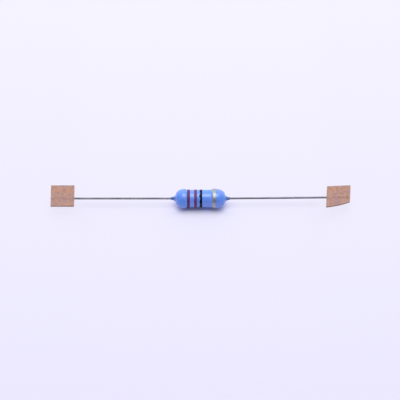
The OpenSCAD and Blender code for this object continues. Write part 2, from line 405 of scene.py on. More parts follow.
# %% [markdown]
# ## Turning a section: the Lathe tree
#
# The dipped body and the wires are round all the way along, so each is a half section turned
# about X. Blender's Screw modifier could turn it, but the lacquer also has to dip a little here
# and there, and only where it shows. So a Geometry Nodes tree lays a grid with one row for each
# point of the section and one column for each step round, looks each row's point up in the
# section, bends the grid into a tube and merges its seam and its poles. Then it lets the skin
# sink by a noise, never outwards, so that the piece can't outgrow its solid.

# %% Starting and ending a tree


def new_tree(name, **inputs):
    """An empty geometry tree for a modifier, with named inputs after its geometry."""
    tree = bpy.data.node_groups.new(name, "GeometryNodeTree")
    tree.is_modifier = True
    for label, kind in {"Geometry": "Geometry", **inputs}.items():
        tree.interface.new_socket(label.replace("_", " "), in_out="INPUT",
                                  socket_type="NodeSocket" + kind)
    tree.interface.new_socket("Geometry", in_out="OUTPUT", socket_type="NodeSocketGeometry")
    return tree, add(tree, "NodeGroupInput").outputs


def end_tree(tree, geometry, finish):
    """Every tree ends in real geometry with its material, because an export drops instances."""
    real = add(tree, "GeometryNodeRealizeInstances", {"Geometry": geometry})
    made = add(tree, "GeometryNodeSetMaterial", {"Geometry": real, "Material": finish})
    add(tree, "NodeGroupOutput", {"Geometry": made})
    print(f"The {tree.name} tree has {len(tree.nodes)} nodes")


print("Trees take named inputs after their geometry, and end in Realize Instances")

# %% Bending a grid round the axis
MERGE = 1e-7              # points closer than this are one point


def lifted(tree, foot, outwards, height):
    """The point outwards from a foot, by a height."""
    lift = add(tree, "ShaderNodeVectorMath", {0: outwards, "Scale": height}, operation="SCALE")
    return add(tree, "ShaderNodeVectorMath", {0: foot, 1: lift}, operation="ADD")


def turned_grid(tree, given):
    """A grid of section points by steps round, each point's row, and where it is to go."""
    size = add(tree, "GeometryNodeAttributeDomainSize", {"Geometry": given["Geometry"]})
    columns = add(tree, "ShaderNodeMath", {0: given["Segments"], 1: 1}, operation="ADD")
    grid = add(tree, "GeometryNodeMeshGrid", {
        "Vertices X": size.outputs["Point Count"], "Vertices Y": columns})
    index = add(tree, "GeometryNodeInputIndex")
    ratio = add(tree, "ShaderNodeMath", {0: index, 1: columns}, operation="DIVIDE")
    row = add(tree, "ShaderNodeMath", {0: ratio}, operation="FLOOR")
    column = add(tree, "ShaderNodeMath", {0: index, 1: columns}, operation="MODULO")
    share = add(tree, "ShaderNodeMath", {0: column, 1: given["Segments"]}, operation="DIVIDE")
    angle = add(tree, "ShaderNodeMath", {0: share, 1: 2 * pi}, operation="MULTIPLY")
    point = add(tree, "GeometryNodeSampleIndex", {
        "Geometry": given["Geometry"], "Value": add(tree, "GeometryNodeInputPosition"),
        "Index": row}, data_type="FLOAT_VECTOR")
    outwards = add(tree, "ShaderNodeCombineXYZ", {
        "Y": add(tree, "ShaderNodeMath", {0: angle}, operation="SINE"),
        "Z": add(tree, "ShaderNodeMath", {0: angle}, operation="COSINE")})
    return grid, row, add(tree, "ShaderNodeSeparateXYZ", {0: point}).outputs, outwards


def bent(tree, grid, place):
    """The grid with its points in place, and its seam and its poles merged."""
    moved = add(tree, "GeometryNodeSetPosition", {"Geometry": grid, "Position": place})
    return add(tree, "GeometryNodeMergeByDistance", {"Geometry": moved, "Distance": MERGE})


print(f"Seams and poles merge within {MERGE / mm:.4f} mm")

# %% The Lathe tree


def lathe_tree():
    """Turns a section of X and Z about the X axis. The section's "skin" says where it may sink."""
    tree, given = new_tree("Lathe", Segments="Int", Sink="Float", Patch="Float", Seed="Float",
                           Finish="Material")
    grid, row, section, outwards = turned_grid(tree, given)
    skin = add(tree, "GeometryNodeInputNamedAttribute", {"Name": "skin"})
    marked = add(tree, "GeometryNodeStoreNamedAttribute", {
        "Geometry": grid, "Name": "skin", "Value": add(tree, "GeometryNodeSampleIndex", {
            "Geometry": given["Geometry"], "Index": row, "Value": skin})})
    along = add(tree, "ShaderNodeCombineXYZ", {"X": section["X"]})
    closed = bent(tree, marked, lifted(tree, along, outwards, section["Z"]))
    scale = add(tree, "ShaderNodeMath", {0: 1, 1: given["Patch"]}, operation="DIVIDE")
    sink = add(tree, "ShaderNodeTexNoise", {"W": given["Seed"], "Scale": scale, "Detail": 2},
               noise_dimensions="4D")
    for factor in (skin, given["Sink"], -1):
        sink = add(tree, "ShaderNodeMath", {0: sink, 1: factor}, operation="MULTIPLY")
    offset = add(tree, "ShaderNodeVectorMath", {
        0: add(tree, "GeometryNodeInputNormal"), "Scale": sink}, operation="SCALE")
    uneven = add(tree, "GeometryNodeSetPosition", {"Geometry": closed, "Offset": offset})
    plain = add(tree, "GeometryNodeRemoveAttribute", {"Geometry": uneven, "Name": "skin"})
    smooth = add(tree, "GeometryNodeSetShadeSmooth", {"Geometry": plain})
    end_tree(tree, smooth, given["Finish"])
    return tree


lathe = lathe_tree()

# %% [markdown]
# ## Running a tree once
#
# A tree is only a recipe. It is put on an object as a modifier, its inputs are set, the result
# is copied out as a plain mesh, and the modifier goes. Inputs are addressed by their sockets'
# identifiers, which stay the same when a label changes, and they are set before the object is
# first evaluated. A closed shell has a positive signed volume when its faces point outwards,
# which makes a cheap test of every piece.

# %% Testing a shell


def report(piece):
    """Prints a piece's size, and says whether its shell is closed and faces outwards."""
    shell = bmesh.new()
    shell.from_mesh(piece.data)
    open_edges = sum(not edge.is_manifold for edge in shell.edges)
    volume = shell.calc_volume(signed=True) / mm ** 3
    triangles = sum(len(face.verts) - 2 for face in shell.faces)
    shell.free()
    print(f"{piece.name}: {triangles} triangles, {volume:.3f} mm3, {open_edges} open edges")


print("A sound shell has no open edges and a positive volume")

# %% Running a tree
new_pieces = {}               # for each solid, the piece that stands for it and its slot


def input_id(tree, label):
    """The identifier of a tree's input, found by its label."""
    return next(item.identifier for item in tree.interface.items_tree
                if item.item_type == "SOCKET" and item.in_out == "INPUT" and item.name == label)


def grow(name, mesh, tree, **values):
    """Runs a tree on a mesh, and returns an object that holds the result as a plain mesh."""
    piece = bpy.data.objects.new(name, mesh)
    modifier = piece.modifiers.new(tree.name, "NODES")
    modifier.node_group = tree
    for label, value in values.items():
        modifier[input_id(tree, label.replace("_", " "))] = value
    bpy.context.scene.collection.objects.link(piece)
    graph = bpy.context.evaluated_depsgraph_get()
    result = bpy.data.meshes.new_from_object(piece.evaluated_get(graph))
    piece.modifiers.remove(modifier)
    piece.data = result
    result.name = name
    report(piece)
    return piece


def section_mesh(name, points, skin=()):
    """A chain of section points, each (distance along X, radius), with the range of its skin."""
    mesh = bpy.data.meshes.new(name)
    mesh.from_pydata([(x, 0, r) for x, r in points], [], [])
    mark = mesh.attributes.new("skin", "FLOAT", "POINT")
    mark.data.foreach_set("value", [float(i in skin) for i in range(len(points))])
    return mesh


print("The Lathe asks for",
      [item.name for item in lathe.interface.items_tree if item.in_out == "INPUT"])

# %% [markdown]
# ## The dipped body
#
# The lacquer follows what it covers. It bulges over the steel cap pressed on each end of the
# rod, falls to a waist between them, rounds over each end, and climbs the wire in a meniscus
# that thins out like a sleeve. The left bulge ends in a short step and the right one in a long
# slope, as surface tension left them. It could be sculpted, but a section of plain curves keeps
# each radius and length under its own name. The section is a closed loop: outside from left to
# right, then back along the core, so that the lacquer is a shell with the real parts inside it.

# %% Sizes of the lacquer
coat_end = 0.6 * mm           # lacquer over the face of a cap
shoulder_len = 2.3 * mm       # the rounding at each end
end_r = 1.125 * mm            # radius of the flat left round the meniscus
ramp_left = 0.35 * mm         # slope from the waist to the left bulge
ramp_right = 1.6 * mm         # slope from the waist to the right bulge
sleeve_r = lead_r + 0.1 * mm  # lacquer drawn out along the wire
tip_r = lead_r + 0.05 * mm    # lacquer left at the very tip
meniscus_len = 0.35 * mm      # distance over which the meniscus falls to about a third
drawn_share = 0.75            # share of the sleeve that is drawn out, before it thins to its tip
cap_corner = 0.6 * mm         # rounding of the pressed cap
weld_lip = 0.05 * mm          # ring left round the wire at the top of its weld
weld_h = 0.3 * mm             # height of the weld
weld_top = cap_face + weld_h
body_end = cap_face + coat_end
ramp_top = cap_rim + (bulge_r - cap_r) / 2
print(f"Without its sleeves the lacquer is {2 * body_end / mm:.1f} mm long")

# %% The section of the lacquer
CURVE_STEPS = 24              # points on each stretch of the outline
WAIST_STEPS = 30              # points along the waist
CORNER_STEPS = 6              # points on the corner of a cap


def lacquer_half(ramp):
    """The outside of the lacquer from the foot of the slope outwards."""
    steps = [i / CURVE_STEPS for i in range(CURVE_STEPS + 1)]
    slope = [(ramp_top - ramp + ramp * s, waist_r + (bulge_r - waist_r) * (1 - cos(pi * s)) / 2)
             for s in steps]
    shoulder = [(body_end - shoulder_len * (1 - sin(pi / 2 * s)),
                 end_r + (bulge_r - end_r) * cos(pi / 2 * s)) for s in steps]
    drawn = (sleeve_end - body_end) * drawn_share
    meniscus = [(body_end + drawn * s ** 2,
                 sleeve_r + (end_r - sleeve_r) * exp(-drawn * s ** 2 / meniscus_len))
                for s in steps[1:]]
    return slope + shoulder + meniscus + [(sleeve_end, tip_r)]


def core_half():
    """The inside of the lacquer, over the film, the cap, the weld and the wire."""
    turns = [pi / 2 * i / CORNER_STEPS for i in range(CORNER_STEPS + 1)]
    corner = [(cap_face - cap_corner * (1 - sin(turn)), cap_r - cap_corner * (1 - cos(turn)))
              for turn in turns]
    weld = [(cap_face, weld_r), (weld_top, lead_r + weld_lip), (weld_top, lead_r)]
    return [(cap_rim, film_r), (cap_rim, cap_r)] + corner + weld + [(sleeve_end, lead_r)]


def mirrored(points):
    """The same stretch of the section at the other end, still from left to right."""
    return [(-x, r) for x, r in reversed(points)]


left_half = mirrored(lacquer_half(ramp_left))
right_half = lacquer_half(ramp_right)
waist_from, waist_to = left_half[-1][0], right_half[0][0]
waist = [(waist_from + (waist_to - waist_from) * i / WAIST_STEPS, waist_r)
         for i in range(1, WAIST_STEPS)]
outside = left_half + waist + right_half
core = core_half()
loop = outside + core[::-1] + [(-x, r) for x, r in core]
print("The lacquer's section has", len(loop), "points")

# %% The lacquer
LACQUER_SINK = 0.022 * mm     # how deep the skin sinks at most
LACQUER_PATCH = 1.3 * mm      # how wide one hollow is
LACQUER_SEGMENTS = 144
section = section_mesh("lacquer_section", loop + loop[:1], range(1, len(outside) - 1))
lacquer = grow("lacquer_body", section, lathe, Segments=LACQUER_SEGMENTS, Sink=LACQUER_SINK,
               Patch=LACQUER_PATCH, Seed=3.0, Finish=lacquer_finish)
new_pieces["lacquer_coating"] = lacquer, "blue_lacquer"

# %% [markdown]
# ## The wires
#
# Each lead is one length of tinned wire, butt-welded to its cap. The weld is a small cone of
# metal that ends in a lip round the wire. A curve with a round bevel would do for a plain wire,
# but not for its weld, so the same Lathe turns both from a section that starts and ends on the
# axis, where its poles close. Tin from a dip is never even, so the skin sinks by a few
# thousandths. The wire's own end was sheared and shows a worn edge. The right lead leaves its
# weld a little out of line, so its mesh is turned about the middle of its cap's face.

# %% The wires
WIRE_STEPS = 90
WIRE_SINK = 0.008 * mm
WIRE_PATCH = 0.9 * mm
WIRE_SEGMENTS = 32
shear_edge = 0.04 * mm        # rounding that shearing leaves on the wire's end
bare = wire_end - shear_edge - weld_top
wire_section = (
    [(cap_face, 0), (cap_face, weld_r), (weld_top, lead_r + weld_lip), (weld_top, lead_r)]
    + [(weld_top + bare * i / WIRE_STEPS, lead_r) for i in range(1, WIRE_STEPS + 1)]
    + [(wire_end, lead_r - shear_edge), (wire_end, 0)])
about_cap = (Matrix.Translation((cap_face, 0, 0)) @ Matrix.Rotation(lead_yaw, 4, "Z")
             @ Matrix.Translation((-cap_face, 0, 0)))
half_turn = Matrix.Rotation(pi, 4, "Z")
for side, turn, seed in (("left", half_turn, 1.0), ("right", about_cap, 2.0)):
    section = section_mesh("wire_section", wire_section, range(4, len(wire_section) - 2))
    wire = grow(f"wire_{side}", section, lathe, Segments=WIRE_SEGMENTS, Sink=WIRE_SINK,
                Patch=WIRE_PATCH, Seed=seed, Finish=wire_finish)
    wire.data.transform(turn)
    new_pieces[f"lead_{side}"] = wire, "tinned_wire"

# %% [markdown]
# ## The printed bands
#
# A band is a ring of ink that lies on an uneven body, so it can't be a plain tube, and a tube
# shrunk on to the body would lose its edge. The Band tree bends a closed ribbon section round
# the body in the same way as the Lathe. Then it casts a ray from each point towards the axis and
# sets the point down where the ray meets the lacquer, lifted by the height of the ink there. The
# print's edges wander with a noise, and Ripple adds the bitten edge that a dirty wheel leaves,
# strongest at one angle and dying away round it. It also stores how much darker the ink turns
# towards the band's left edge, for the ink's finish.

# %% Edges of a print
EDGE_SCALE = 3            # scale of the noise by which the edges wander
SECOND_EDGE = 7           # step in the noise that sets the right edge apart from the left


def wandering(tree, given, outwards, shift):
    """How far one edge of the print strays along X."""
    seed = add(tree, "ShaderNodeMath", {0: given["Seed"], 1: shift}, operation="ADD")
    wave = add(tree, "ShaderNodeTexNoise", {
        "Vector": outwards, "W": seed, "Scale": EDGE_SCALE, "Detail": 3}, noise_dimensions="4D")
    centred = add(tree, "ShaderNodeMath", {0: wave, 1: 0.5}, operation="SUBTRACT")
    return add(tree, "ShaderNodeMath", {0: centred, 1: given["Wander"]}, operation="MULTIPLY")


def bitten(tree, given, outwards):
    """The bitten edge: waves about one angle, which die away on both sides of it."""
    turn = add(tree, "ShaderNodeSeparateXYZ", {0: outwards}).outputs
    angle = add(tree, "ShaderNodeMath", {0: turn["Z"], 1: turn["Y"]}, operation="ARCTAN2")
    apart = add(tree, "ShaderNodeMath", {0: angle, 1: given["Ripple Angle"]}, operation="SUBTRACT")
    waves = add(tree, "ShaderNodeMath", {0: apart, 1: given["Ripple Length"]}, operation="DIVIDE")
    phase = add(tree, "ShaderNodeMath", {0: waves, 1: 2 * pi}, operation="MULTIPLY")
    swing = add(tree, "ShaderNodeMath", {0: phase}, operation="COSINE")
    square = add(tree, "ShaderNodeMath", {0: waves, 1: waves}, operation="MULTIPLY")
    damping = add(tree, "ShaderNodeMath", {0: exp(1), 1: square}, operation="POWER")
    packet = add(tree, "ShaderNodeMath", {0: swing, 1: damping}, operation="DIVIDE")
    return add(tree, "ShaderNodeMath", {0: packet, 1: given["Ripple"]}, operation="MULTIPLY")


def printed_across(tree, given, section, outwards):
    """Where along X each point of the ribbon is printed."""
    start = add(tree, "ShaderNodeMath", {
        0: given["From"], 1: wandering(tree, given, outwards, 0)}, operation="ADD")
    left = add(tree, "ShaderNodeMath", {
        0: start, 1: bitten(tree, given, outwards)}, operation="SUBTRACT")
    end = add(tree, "ShaderNodeMath", {0: given["From"], 1: given["Width"]}, operation="ADD")
    right = add(tree, "ShaderNodeMath", {
        0: end, 1: wandering(tree, given, outwards, SECOND_EDGE)}, operation="ADD")
    return add(tree, "ShaderNodeMapRange", {
        "Value": section["X"], "To Min": left, "To Max": right})


print("A print has a wandering right edge and a bitten left one")

# %% The Band tree
FAR_RADIUS = 2 * bulge_r      # where the rays start
LIGHT_SHARE, DARKEST_SHARE = 0.6, 0.2   # shares across a band between which the ink turns darker towards its left edge


def set_down(tree, given, across, outwards):
    """Where a ray towards the axis meets the body."""
    foot = add(tree, "ShaderNodeCombineXYZ", {"X": across})
    down = add(tree, "ShaderNodeVectorMath", {0: outwards, "Scale": -1}, operation="SCALE")
    body = add(tree, "GeometryNodeObjectInfo", {"Object": given["Body"]})
    return add(tree, "GeometryNodeRaycast", {
        "Target Geometry": body.outputs["Geometry"], "Ray Direction": down,
        "Source Position": lifted(tree, foot, outwards, FAR_RADIUS),
        "Ray Length": FAR_RADIUS}).outputs["Hit Position"]


def band_tree():
    """Wraps a ribbon section, of share across and share of height, round the lacquer."""
    tree, given = new_tree("Band", Segments="Int", From="Float", Width="Float", Height="Float",
                           Wander="Float", Ripple="Float", Ripple_Angle="Float",
                           Ripple_Length="Float", Left_Load="Float", Seed="Float", Body="Object",
                           Finish="Material")
    grid, _, section, outwards = turned_grid(tree, given)
    across = printed_across(tree, given, section, outwards)
    height = add(tree, "ShaderNodeMath", {
        0: section["Z"], 1: given["Height"]}, operation="MULTIPLY")
    place = lifted(tree, set_down(tree, given, across, outwards), outwards, height)
    # How much darker the ink turns towards the band's left edge, stored for its finish.
    leftness = add(tree, "ShaderNodeMapRange", {
        "Value": section["X"], "From Min": LIGHT_SHARE, "From Max": DARKEST_SHARE})
    load = add(tree, "ShaderNodeMath", {0: leftness, 1: given["Left Load"]}, operation="MULTIPLY")
    loaded = add(tree, "GeometryNodeStoreNamedAttribute", {
        "Geometry": grid, "Name": "load", "Value": load})
    smooth = add(tree, "GeometryNodeSetShadeSmooth", {"Geometry": bent(tree, loaded, place)})
    end_tree(tree, smooth, given["Finish"])
    return tree


band = band_tree()

# %% [markdown]
# ## Four bands
#
# Two dark red digits and a black multiplier are read from the left, and the pale gold tolerance
# band sits apart, on the slope of the right bulge. Their places and widths come from the frame.
# The ribbon's section rises quickly from a feathered edge to its full height, and its underside
# lies on the lacquer.

# %% The four bands
FEATHER = ((0, 0), (0.03, 0.55), (0.09, 1), (0.3, 0.92), (0.5, 0.9), (0.7, 0.92), (0.91, 1),
           (0.97, 0.55), (1, 0))
BAND_SEGMENTS = 288
VIEW_UP = radians(54)         # elevation, round the body, of what faces the eye
RIPPLE_ANGLE = pi - VIEW_UP - radians(17)     # where the bite is strongest
RIPPLE_LENGTH = radians(39)   # one wave of the bitten edge
ribbon = list(FEATHER) + [(share, 0) for share, _ in reversed(FEATHER[1:-1])] + [(0, 0)]
# The sixth entry of each print says how much darker it turns towards its left edge.
prints = (("first_digit", red_finish, "red_ink", 0.05, 0, 0.9, 1.0),
          ("second_digit", red_finish, "red_ink", 0.09, 0.04, 0.25, 2.0),
          ("multiplier", black_finish, "black_ink", 0.1, 0.16, 0.0, 3.0),
          ("tolerance", gold_finish, "gold_ink", 0.05, 0, 0.0, 4.0))
for name, finish, slot, wander, ripple, load, seed in prints:
    low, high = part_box(f"band_{name}")
    piece = grow(f"ink_{name}", section_mesh("ribbon", ribbon), band, Segments=BAND_SEGMENTS,
                 From=low.x, Width=high.x - low.x, Height=ink_t, Wander=wander * mm,
                 Ripple=ripple * mm, Ripple_Angle=RIPPLE_ANGLE, Ripple_Length=RIPPLE_LENGTH,
                 Left_Load=load, Seed=seed, Body=lacquer, Finish=finish)
    new_pieces[f"band_{name}"] = piece, slot

# %% [markdown]
# ## The paper tabs
#
# Carrier tape is two strips of paper glued face to face, with the wires between them. Over each
# wire the strips stand off in a ridge. The left tab was cut square. The right one was cut
# askew, with a bowed cut in front, and sheared a little ragged at its outer rear corner. Tape is
# stiff, so nothing is draped: a sheet is a grid of points between its front cut and its rear
# cut, once for the glued face and once for the outer one, joined by walls. The outer face only
# ever sinks, by the depth of the paper's grain, and the cut edges are drawn in a little here and
# there, so the sheet keeps inside its solid. The tilt of each tab comes from the record, whose
# mounts give the direction in which the paper faces.

# %% Shape of the tape
tape_inner = -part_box("tape_left_upper")[1].x
tape_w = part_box("tape_left_upper")[1].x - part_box("tape_left_upper")[0].x
tape_t = 0.16 * mm
ridge_w = 2.2 * mm
glue_gap = 0.01 * mm
right_skew = radians(2.7)
left_front, left_rear = 3.8 * mm, 6.2 * mm
right_front_inner, right_front_outer = 4.85 * mm, 2.35 * mm
right_rear_inner, right_rear_outer = 5.4 * mm, 5.9 * mm
cut_bow = 0.35 * mm
tab_tilt = {side: asin(Vector(mounts[f"tab_face_{side}"]["axis"]).normalized().y / cos(yaw))
            for side, yaw in (("left", 0), ("right", lead_yaw))}


def ridge(v):
    """Height of the glued face over the plane of the tape, at a distance v from the wire."""
    if abs(v) >= ridge_w / 2:
        return 0
    return (lead_r + glue_gap) * (1 + cos(2 * pi * v / ridge_w)) / 2


def left_cut(s, rear):
    """A point on the left tab's square cuts, for a share s across the tape."""
    return Vector((s * tape_w, left_rear if rear else -left_front))


def leaning(u, v):
    """A point of the right tape, which leans as it runs back."""
    return Vector((u + v * tan(right_skew), v))


def right_cut(s, rear):
    """A point on the right tab's cuts: askew, and bowed in front."""
    if rear:
        return leaning(0, right_rear_inner).lerp(leaning(tape_w, right_rear_outer), s)
    inner, outer = leaning(0, -right_front_inner), leaning(tape_w, -right_front_outer)
    chord = outer - inner
    out = Vector((chord.y, -chord.x)).normalized()
    return inner.lerp(outer, s) + out * cut_bow * 4 * s * (1 - s)


print("Tabs tilt by", {side: round(tilt * 180 / pi, 2) for side, tilt in tab_tilt.items()})

# %% Points of a sheet
ACROSS_STEPS, ALONG_STEPS = 64, 112
FRAY = 0.035 * mm             # how far a cut edge is drawn in at most
FRAY_SIZE = 0.25 * mm         # length of one notch in a cut edge
GRAIN_DEPTH = 0.016 * mm      # depth of the grain of the paper
GRAIN_LONG, GRAIN_WIDE = 0.9 * mm, 0.16 * mm
STRAY_ROOM = 0.014 * mm       # room left above the paper for stray fibres
CREASE_DEPTH = 0.07 * mm      # creases that the shears left near the outer edge of the right tab
CREASE_PITCH = 0.48 * mm
CREASE_FROM = (tape_w - 1.6 * mm, 1.6 * mm)    # where the creases start, across and along
CREASE_RISE = (0.4 * mm, 2 * mm)               # how soon they reach their depth, each way


def crease(u, v):
    """Depth of the creases at a point of the right tab."""
    in_u, in_v = u - CREASE_FROM[0], v - CREASE_FROM[1]
    if in_u < 0 or in_v < 0:
        return 0
    grown = min(1, in_u / CREASE_RISE[0]) * min(1, in_v / CREASE_RISE[1])
    return CREASE_DEPTH * grown * (1 - cos(2 * pi * in_u / CREASE_PITCH)) / 2


def sheet_points(cut, lower, page):
    """Pairs of points, glued and outer, and where each pair lies on the sheet in millimetres."""
    points, corners = [], []
    sign = -1 if lower else 1
    for i in range(ACROSS_STEPS + 1):
        for j in range(ALONG_STEPS + 1):
            s, t = i / ACROSS_STEPS, j / ALONG_STEPS
            at = cut(s, rear=False).lerp(cut(s, rear=True), t)
            frayed = FRAY * (0.5 + 0.5 * noise.noise(Vector((*at / FRAY_SIZE, page))))
            flat = at.copy()
            flat.x += frayed * ((i == 0) - (i == ACROSS_STEPS))
            flat.y += frayed * ((j == 0) - (j == ALONG_STEPS))
            grain = 0.5 + 0.5 * noise.noise(Vector((at.x / GRAIN_WIDE, at.y / GRAIN_LONG, page)))
            sunk = STRAY_ROOM + GRAIN_DEPTH * grain + (0 if cut is left_cut else crease(*at))
            low = ridge(flat.y)
            up = low + tape_t - sunk
            points += [(flat.x, flat.y, sign * low), (flat.x, flat.y, sign * up)]
            corners.append((at.x / mm, at.y / mm))
    return points, corners


print("A strip has", 2 * (ACROSS_STEPS + 1) * (ALONG_STEPS + 1), "points")

# %% Faces of a sheet
STRAY_CLEAR = 0.6 * mm        # distance from the cuts at which no stray fibre is rooted


def sheet_faces(cut):
    """Outer and glued faces in pairs, then the cut edges, and which may root a stray fibre."""
    shortest = min((cut(s, rear=True) - cut(s, rear=False)).length for s in (0, 1))
    clear_i = round(ACROSS_STEPS * STRAY_CLEAR / tape_w)
    clear_j = round(ALONG_STEPS * STRAY_CLEAR / shortest)

    def number(i, j, outer):
        return 2 * (i * (ALONG_STEPS + 1) + j) + outer

    faces, rooted = [], []
    for i in range(ACROSS_STEPS):
        for j in range(ALONG_STEPS):
            ring = [(i, j), (i + 1, j), (i + 1, j + 1), (i, j + 1)]
            faces.append([number(*p, 1) for p in ring])
            faces.append([number(*p, 0) for p in reversed(ring)])
            rooted += [clear_i <= i < ACROSS_STEPS - clear_i
                       and clear_j <= j < ALONG_STEPS - clear_j, False]
    rim = ([(i, 0) for i in range(ACROSS_STEPS)]
           + [(ACROSS_STEPS, j) for j in range(ALONG_STEPS)]
           + [(i, ALONG_STEPS) for i in range(ACROSS_STEPS, 0, -1)]
           + [(0, j) for j in range(ALONG_STEPS, 0, -1)])
    for one, two in zip(rim, rim[1:] + rim[:1]):
        faces.append([number(*one, 0), number(*two, 0), number(*two, 1), number(*one, 1)])
        rooted.append(False)
    return faces, rooted


print("A strip has", len(sheet_faces(left_cut)[0]), "faces")

# %% Sheets of paper
PAGE_SPAN = 40                # distance on the UV map from one strip's pattern to the next


def paper_sheet(name, cut, place, lower, page):
    """One strip of a tab. The page is a number that gives each strip its own grain."""
    points, corners = sheet_points(cut, lower, page)
    faces, rooted = sheet_faces(cut)
    if lower:
        faces = [face[::-1] for face in faces]
    sheet = bpy.data.meshes.new(name)
    sheet.from_pydata(points, [], faces)
    sheet.uv_layers.new(name="sheet")
    for loop in sheet.loops:
        u, v = corners[loop.vertex_index // 2]
        sheet.uv_layers["sheet"].data[loop.index].uv = (u + PAGE_SPAN * page, v)
    sheet.attributes.new("rooted", "BOOLEAN", "FACE").data.foreach_set("value", rooted)
    sheet.transform(place)
    if place.is_negative:
        sheet.flip_normals()
    return sheet


print(f"Patterns of the strips lie {PAGE_SPAN} mm apart on their UV map")

# %% [markdown]
# ## Stray fibres
#
# Kraft isn't calendered, so single fibres lie loose on it. Hair could stand for them, but an
# export drops hair. The Fibres tree scatters points over the faces marked as rooted, lays a
# short arched thread on each, turns it by a random angle round the face's normal, makes the
# threads solid with a thin four-sided tube, and joins them to the sheet. The seed is fixed, so
# every run gives the same paper.

# %% The Fibres tree
STRAY_ARCH = 0.35             # how far a fibre bows, as a share of half its length
STRAY_SIZES = (0.5, 1.3)      # smallest and largest fibre, as shares of the stated size
STRAY_STEPS, STRAY_SIDES = 6, 4      # pieces along a fibre, and sides round it


def fibre_tree():
    """Scatters short arched fibres over the outside of a sheet."""
    tree, given = new_tree("Fibres", Per_Area="Float", Length="Float", Thickness="Float",
                           Seed="Int", Finish="Material")
    rooted = add(tree, "GeometryNodeInputNamedAttribute", {"Name": "rooted"}, data_type="BOOLEAN")
    spots = add(tree, "GeometryNodeDistributePointsOnFaces", {
        "Mesh": given["Geometry"], "Selection": rooted, "Density": given["Per Area"],
        "Seed": given["Seed"]}).outputs
    half = add(tree, "ShaderNodeMath", {0: given["Length"], 1: 0.5}, operation="MULTIPLY")
    back = add(tree, "ShaderNodeMath", {0: half, 1: -1}, operation="MULTIPLY")
    bow = add(tree, "ShaderNodeMath", {0: half, 1: STRAY_ARCH}, operation="MULTIPLY")
    thread = add(tree, "GeometryNodeCurveQuadraticBezier", {
        "Resolution": STRAY_STEPS, "Start": add(tree, "ShaderNodeCombineXYZ", {"X": back}),
        "Middle": add(tree, "ShaderNodeCombineXYZ", {"Y": bow}),
        "End": add(tree, "ShaderNodeCombineXYZ", {"X": half})})
    radius = add(tree, "ShaderNodeMath", {0: given["Thickness"], 1: 0.5}, operation="MULTIPLY")
    outline = add(tree, "GeometryNodeCurvePrimitiveCircle", {
        "Resolution": STRAY_SIDES, "Radius": radius}, mode="RADIUS")
    solid = add(tree, "GeometryNodeCurveToMesh", {
        "Curve": thread, "Profile Curve": outline, "Fill Caps": True})
    spin = add(tree, "FunctionNodeRandomValue", {
        "Min": (0, 0, 0), "Max": (0, 0, 2 * pi), "Seed": given["Seed"]}, data_type="FLOAT_VECTOR")
    turn = add(tree, "FunctionNodeRotateRotation", {
        "Rotation": spots["Rotation"], "Rotate By": spin}, rotation_space="LOCAL")
    size = add(tree, "FunctionNodeRandomValue", {
        "Min": STRAY_SIZES[0], "Max": STRAY_SIZES[1], "Seed": given["Seed"]})
    strewn = add(tree, "GeometryNodeInstanceOnPoints", {
        "Points": spots["Points"], "Instance": solid, "Rotation": turn, "Scale": size})
    joined = add(tree, "GeometryNodeJoinGeometry", {"Geometry": given["Geometry"]})
    tree.links.new(strewn.outputs["Instances"], joined.inputs["Geometry"])
    plain = add(tree, "GeometryNodeRemoveAttribute", {"Geometry": joined, "Name": "rooted"})
    end_tree(tree, plain, given["Finish"])
    return tree


fibres = fibre_tree()

# %% Four strips in place
STRAYS_PER_MM2 = 2.5
STRAY_LENGTH = 0.8 * mm
STRAY_WIDTH = 0.022 * mm
mirror = Matrix.Scale(-1, 4, (1, 0, 0))
page = 0
for side, cut, root in (("left", left_cut, mirror), ("right", right_cut, about_cap)):
    place = root @ Matrix.Translation((tape_inner, 0, 0)) @ Matrix.Rotation(-tab_tilt[side], 4, "X")
    for layer in ("upper", "lower"):
        node = f"tape_{side}_{layer}"
        sheet = paper_sheet(node, cut, place, layer == "lower", page)
        piece = grow(f"kraft_{side}_{layer}", sheet, fibres, Per_Area=STRAYS_PER_MM2 / mm ** 2,
                     Length=STRAY_LENGTH, Thickness=STRAY_WIDTH, Seed=page, Finish=paper_finish)
        new_pieces[node] = piece, "kraft_paper"
        page += 1

# %% [markdown]
# ## The parts inside
#
# The rod, its film with the spiral cut, and the two caps are right as they are and can't be
# seen until the part is opened, so their CAD meshes stay and only get their finish.

# %% Finish of the parts inside
inside = {"ceramic_rod": ceramic_finish, "resistive_film": film_finish,
          "end_cap_left": cap_finish, "end_cap_right": cap_finish}
for node, finish in inside.items():
    nodes[node].data.materials.clear()
    nodes[node].data.materials.append(finish)
    print(f"{node} is finished as {finish.name}")

# %% [markdown]
# ## Handing the pieces to the frame
#
# Nothing on a resistor moves, so the frame has one body and every piece rides on it. Each new
# piece says which solid it stands for, and which slot of the record its finish belongs to.

# %% Every piece rides on the one body
for node, (piece, slot) in new_pieces.items():
    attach(piece, "root")
    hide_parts(node)
print(len(new_pieces), "new pieces and", len(inside), "kept solids ride on the frame")
